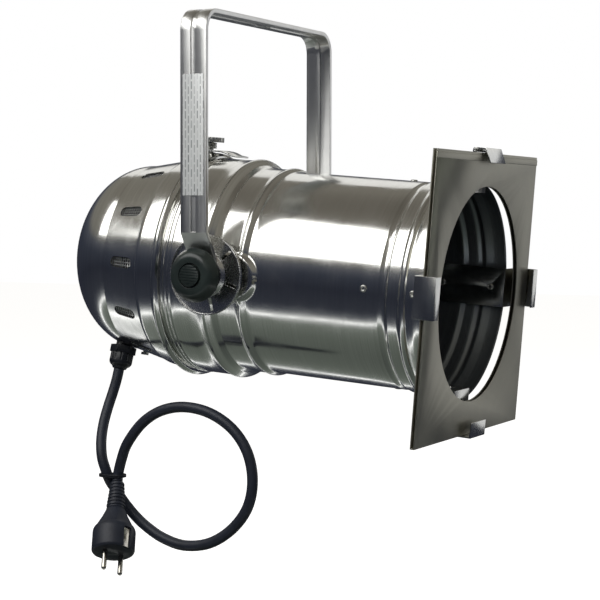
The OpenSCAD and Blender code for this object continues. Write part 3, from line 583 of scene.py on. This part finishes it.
# the cone's radius where the way along the beam is this: a straight line between its ends
def coneRadius(spec, fore):
    share = (fore - spec["bottomFore"]) / (spec["topFore"] - spec["bottomFore"])
    return spec["coneBottom"] + (spec["coneTop"] - spec["coneBottom"]) * share


# one sector of the cone, from its round-ended slot out to its border and back along the inside:
# rays from the slot's middle, each from where it leaves the slot to where it leaves the sector
def ventSector(spec, centre):
    halfAngle = 180 / spec["ventCount"]
    middle = coneRadius(spec, spec["ventFore"])
    halfWidth = math.radians(halfAngle) * middle
    up = np.linspace(-1, 1, spec["across"] + 1)[:-1]
    on = np.linspace(-1, 1, spec["along"] + 1)[:-1]
    u = np.concatenate([up, on * 0 + 1, -up, on * 0 - 1]) * halfWidth
    low, high = spec["bottomFore"] - spec["ventFore"], spec["topFore"] - spec["ventFore"]
    level = np.concatenate([up * 0 - 1, on, up * 0 + 1, -on])
    f = low + (high - low) * (level + 1) / 2
    reach = np.hypot(u, f)
    cu, cf = np.abs(u) / reach, np.abs(f) / reach
    half, straight = spec["ventWide"] / 2, (spec["ventLong"] - spec["ventWide"]) / 2
    flatHit = half / np.maximum(cu, 1e-9)
    roundHit = straight * cf + np.sqrt(np.maximum(half ** 2 - (straight * cu) ** 2, 0))
    edge = np.where(flatHit * cf <= straight, flatHit, roundHit)
    share = np.concatenate([[0, 0.03], np.linspace(0.15, 1, 4)])[:, None]
    reachAt = edge + (reach - edge) * share
    uGrid, fGrid = u / reach * reachAt, spec["ventFore"] + f / reach * reachAt
    angle = np.radians(centre) + uGrid / middle
    radius = coneRadius(spec, fGrid)
    outer = np.stack([radius * np.sin(angle), fGrid, radius * np.cos(angle)], -1)
    thin = radius - spec["wall"]
    inner = np.stack([thin * np.sin(angle), fGrid, thin * np.cos(angle)], -1)
    return np.concatenate([outer[::-1], inner])


def makeRearHousing(spec):
    wall, rimFore = spec["wall"], spec["rimFore"]
    count = spec["ventCount"] * spec["across"]
    angles = 180 / spec["ventCount"] + np.arange(count) * 360 / count
    coneStart = [spec["coneTop"], spec["topFore"]]
    front = joinLines(
        [[spec["spigot"], -35], [spec["spigot"], -50.2], [spec["rim"] - 2.5, -50.6]],
        arcPoints([spec["rim"] - 3, rimFore], 3, 60, -60),
        [[101, -59.5], [99.3, -75], [98.3, -78], coneStart])
    outside = softLine(front, 0.4)
    outside[-1] = coneStart  # exact, so that it joins the cone
    inside = joinLines(
        [[spec["spigot"] - wall, -35], [spec["spigot"] - wall, rimFore], [99.5, -59.5],
         [97.8, -75], [96.5, -78], [spec["coneTop"] - wall, spec["topFore"]]])
    shoulder = turned(np.vstack([inside[::-1], outside]), angles)
    # the dome is a quarter of an ellipse, and its inside a smaller one
    turn = np.radians(np.linspace(0, 90, 31))
    quarters = []
    for skin in (0, wall):
        radius = (spec["coneBottom"] - skin) * np.cos(turn)
        fore = spec["bottomFore"] - (spec["domeDepth"] - skin) * np.sin(turn)
        quarters.append(np.stack([radius, fore], 1))
    cap = turned(np.vstack([quarters[0], quarters[1][::-1]]), angles)
    grids = [(place(shoulder), False), (place(cap), False)]
    for k in range(spec["ventCount"]):
        grids.append((place(ventSector(spec, 90 + 360 * k / spec["ventCount"])), False))
    return pieceFrom("rearHousing", grids, 50)


finishPiece(makeRearHousing(rearHousing), "rear_housing")
print("rear housing made")

# wire mesh behind the vents, in mm and degrees: hoops round the cone, straight wires along it
ventMesh = {
    "inset": 2.1, "wire": 0.42, "hoopStep": 2.7, "turnStep": 1.8, "ends": (-81.0, -116.0),
}


def makeVentMesh(spec):
    start, end = spec["ends"]
    fores = np.arange(start, end, -spec["hoopStep"])
    around = np.radians(np.arange(0, 360, 3.0))
    radius = coneRadius(rearHousing, fores) - spec["inset"]
    hoops = np.stack([radius[:, None] * np.sin(around), fores[:, None] + 0 * around,
                      radius[:, None] * np.cos(around)], -1)
    hoops = place(np.concatenate([hoops[:, -1:], hoops, hoops[:, :1]], 1))
    thick = np.full(hoops.shape[:2], spec["wire"] * mm)
    hoopTubes = swept(hoops, thick, 4, backDir)[:, 1:-1]
    turn = np.radians(np.arange(0, 360, spec["turnStep"]))[:, None]
    along = np.array([start, end])[None, :]
    reach = coneRadius(rearHousing, along) - spec["inset"] - 2 * spec["wire"]
    wires = place(np.stack([reach * np.sin(turn), along + 0 * turn, reach * np.cos(turn)], -1))
    wireTubes = swept(wires, np.full(wires.shape[:2], spec["wire"] * mm), 4, acrossDir + 0.3 * upDir)
    grids = [(tube, True) for tube in hoopTubes] + [(tube, False) for tube in wireTubes]
    return pieceFrom("ventMesh", grids, 60, closed=False)


finishPiece(makeVentMesh(ventMesh), "vent_mesh")
print("vent mesh made")

# knobs, in mm from the yoke out: narrow foot, crowned rim and a dished face round the cap
knob = {
    "foot": 114.0, "radius": 24.0, "height": 20.0, "footRadius": 12, "bore": 6.5,
    "dishRadius": 11.0, "dish": 3,
}


# a profile of radius and height, turned round the pivot
def makeKnob(spec, side, name):
    r, h, foot, dish = spec["radius"], spec["height"], spec["footRadius"], spec["dishRadius"]
    floor = h - spec["dish"]
    outline = joinLines(
        [[spec["bore"], 0], [foot, 0], [foot, 4], [r - 4, 6.5]],
        arcPoints([r - 3.5, 10], 3.5, -60, 30),
        arcPoints([r - 9, h - 7], 7, 20, 90),
        [[dish, h], [dish, floor], [spec["bore"], floor]])
    profile = softLine(outline, 0.3, 8)
    origin = place([side * spec["foot"], 0, -beamRise])
    grid = turnedOn(profile * mm, origin, side * acrossDir, foreDir, upDir, 96)
    return pieceFrom(name, [(grid, True)], 60)


finishPiece(makeKnob(knob, -1, "knobNear"), "knob_near")
finishPiece(makeKnob(knob, 1, "knobFar"), "knob_far")
print("knobs made")

# tubular rivets of the holders, in mm: rolled flange inside, a bored shank, rolled flange
# outside; each row is its way along the beam and the wall's radius there
rivets = {
    "bore": 1.0, "shank": 1.6, "flange": 3.2, "lip": 1.1, "inner": 86.8,
    "rows": ((149.0, 94.0), (197.0, 98.5)),
}


# a profile of radius and height, turned round each rivet's own axis
def makeRivets(spec):
    grids = []
    lip, middle = spec["lip"], (spec["bore"] + spec["flange"]) / 2
    for turn in (0, 90, 180, 270):
        out = np.array([math.cos(math.radians(turn)), 0, math.sin(math.radians(turn))])
        v = np.array([-out[2], 0, out[0]])
        for fore, high in spec["rows"]:
            low = spec["inner"]
            outline = joinLines(
                [[spec["bore"], low + 0.5]],
                arcPoints([middle, low + 0.55], lip, 180, 290, 8),
                [[spec["flange"], low + 1.0], [spec["shank"], low + 1.2], [spec["shank"], high]],
                [[spec["flange"], high]],
                arcPoints([middle, high + 0.1], lip, 20, 180, 8))
            grid = turnedOn(outline, [0, fore, 0], out, [0, 1, 0], v, 24)
            grids.append((place(grid), True))
    return pieceFrom("holderRivets", grids, 50)


finishPiece(makeRivets(rivets), "holder_rivets")
print("rivets made")

# lead, in mm: its middle line drops from the gland, loops to the front and comes back down
# through the tie to the plug
lead = {
    "diameter": 10.0, "steps": 6, "sides": 20,
    "route": [
        (-20.5, 135.1, -293.8), (-25.1, 136.4, -309.8), (-30.6, 137.9, -328.9), (-33.9, 139.0, -340.4),
        (-37.7, 140.8, -352), (-44, 142.4, -366), (-52, 142.2, -381), (-60, 139.5, -396),
        (-65, 135.5, -410), (-65.5, 131.5, -421), (-62.4, 128.8, -432), (-57.9, 124.4, -442),
        (-56.2, 116.5, -453), (-58, 104, -464), (-62.5, 88, -473), (-69, 66, -481), (-74, 40, -485),
        (-77, 12, -480), (-78, -12, -465), (-78, -28, -444), (-78, -33, -419), (-77, -27, -394),
        (-76, -11, -374), (-75, 13, -361), (-74, 40, -357), (-72, 66, -362), (-69.5, 88, -375),
        (-66.5, 106, -395), (-63.5, 114.5, -411), (-62.9, 119, -426.4), (-67, 117, -433)],
}


# points of the smooth curve through the route, n to a span: the usual cubic through two points,
# whose slope at each is half the way from the point before it to the point after it
def smoothRoute(points, n):
    p = np.asarray(points, float)
    before = np.vstack([p[:1], p[:-2]])
    after = np.vstack([p[2:], p[-1:]])
    a, b, c, d = (part[:, None] for part in (before, p[:-1], p[1:], after))
    t = (np.arange(n) / n)[None, :, None]
    square, cube = 2 * a - 5 * b + 4 * c - d, 3 * b - a - 3 * c + d
    curve = 0.5 * (2 * b + (c - a) * t + square * t ** 2 + cube * t ** 3)
    return np.vstack([curve.reshape(-1, 3), p[-1:]])


# a tube round the middle line, with both ends drawn in to a point of the line
def makeLead(spec):
    sides = spec["sides"]
    path = smoothRoute(spec["route"], spec["steps"]) * mm
    radius = np.full((1, len(path)), spec["diameter"] / 2 * mm)
    rings = swept(path[None], radius, sides, acrossDir)[0]
    start, end = (np.repeat(tip[:, None], sides, 1) for tip in (path[:1], path[-1:]))
    return pieceFrom("lead", [(np.concatenate([start, rings, end]), False)], 60), path


leadPiece, leadPath = makeLead(lead)
finishPiece(leadPiece, "cord")

# every node that nothing stands for yet
for node in sorted(frame["nodes"]):
    if not frame["nodes"][node].hide_render:
        easedCopy(easing, node)
print("eased copies made")

# studio, in metres: lamps by name, each with its place, size, glow and whether metal shows it,
# and the room's bands from its lowest point, 0, to its highest, 1
studio = {
    "lamps": {
        "keyBox": ((-1.13, 0.60, 0.89), (1.8, 1.1), 2.6, True),
        "fillBox": ((1.9, -1.5, 0.1), (2.2, 1.6), 0.75, True),
        "farBox": ((1.5, 0.9, 1.0), (1.2, 0.9), 0.7, True),
        "washBox": ((-1.5, -0.9, 0.75), (1.2, 1.2), 1.9, False),
    },
    "aim": (0.0, -0.02, -0.23),
    "floor": -0.57, "floorSize": 14.0, "floorGlow": 0.84,
    "bands": [
        (0.0, "#4c514d"), (0.10, "#5f655f"), (0.165, "#747a74"), (0.188, "#b4b7b6"),
        (0.197, "#ffffff"), (0.207, "#a9acad"), (0.235, "#4a4d55"), (0.28, "#33363f"),
        (0.44, "#282b35"), (0.56, "#343843"), (0.63, "#4b4e57"), (0.68, "#77756f"),
        (0.80, "#7d7a72"), (0.92, "#77736b"), (1.0, "#5f5b54"),
    ],
    "stripBand": 4, "stripGlow": 2.4,  # a thin lamp low on the walls
}


# a square lamp of even glow: power is glow times pi times its area
def softLamp(name, target, spot, size, glow, inMetal):
    lamp = bpy.data.lights.new(name, "AREA")
    lamp.shape = "RECTANGLE"
    lamp.size, lamp.size_y = size
    lamp.energy = glow * math.pi * size[0] * size[1]
    holder = bpy.data.objects.new(name, lamp)
    holder.location = spot
    holder.visible_glossy = inMetal
    holder.rotation_euler = (Vector(target) - Vector(spot)).to_track_quat("-Z", "Y").to_euler()
    bpy.context.scene.collection.objects.link(holder)


# the lamps, and a floor that shows white and throws nothing on the metal
def makeStudio(spec):
    for name, settings in spec["lamps"].items():
        softLamp(name, spec["aim"], *settings)
    half, z = spec["floorSize"] / 2, spec["floor"]
    corners = [(-half, -half, z), (half, -half, z), (half, half, z), (-half, half, z)]
    mesh = bpy.data.meshes.new("floor")
    mesh.from_pydata(corners, [], [(0, 1, 2, 3)])
    floor = bpy.data.objects.new("floor", mesh)
    bpy.context.scene.collection.objects.link(floor)
    material, tree, shader = newMaterial("paperFloor")
    shader.inputs["Base Color"].default_value = linear("#f4f4f4")
    shader.inputs["Roughness"].default_value = 0.9
    shader.inputs["Emission Color"].default_value = (1, 1, 1, 1)
    shader.inputs["Emission Strength"].default_value = spec["floorGlow"]
    mesh.materials.append(material)
    floor.visible_glossy = False
    floor.visible_diffuse = False


# room: white behind the object, and seen in the metal as bands that change with height
def makeRoom(spec):
    world = bpy.data.worlds.new("room")
    world.use_nodes = True
    tree = world.node_tree
    tree.nodes.clear()
    coordinates = addNode(tree, "ShaderNodeTexCoord")
    parts = addNode(tree, "ShaderNodeSeparateXYZ", links={0: coordinates.outputs["Generated"]})
    level = addNode(tree, "ShaderNodeMapRange", {"From Min": -1.0, "From Max": 1.0},
                    {0: parts.outputs[2]})
    bands = addNode(tree, "ShaderNodeValToRGB", links={"Fac": level.outputs[0]})
    stops = bands.color_ramp.elements
    while len(stops) < len(spec["bands"]):
        stops.new(0.5)
    for stop, (position, colour) in zip(stops, spec["bands"]):
        stop.position = position
        stop.color = linear(colour)
    stops[spec["stripBand"]].color = grey(spec["stripGlow"])
    dim = addNode(tree, "ShaderNodeBackground", {"Strength": 1.0}, {"Color": bands.outputs[0]})
    white = addNode(tree, "ShaderNodeBackground", {"Color": (1, 1, 1, 1), "Strength": 1.0})
    ray = addNode(tree, "ShaderNodeLightPath")
    choice = {0: ray.outputs["Is Camera Ray"], 1: dim.outputs[0], 2: white.outputs[0]}
    pick = addNode(tree, "ShaderNodeMixShader", links=choice)
    addNode(tree, "ShaderNodeOutputWorld", links={"Surface": pick.outputs[0]})
    bpy.context.scene.world = world


makeStudio(studio)
makeRoom(studio)
bpy.context.scene.view_settings.view_transform = "Standard"
print("studio made")
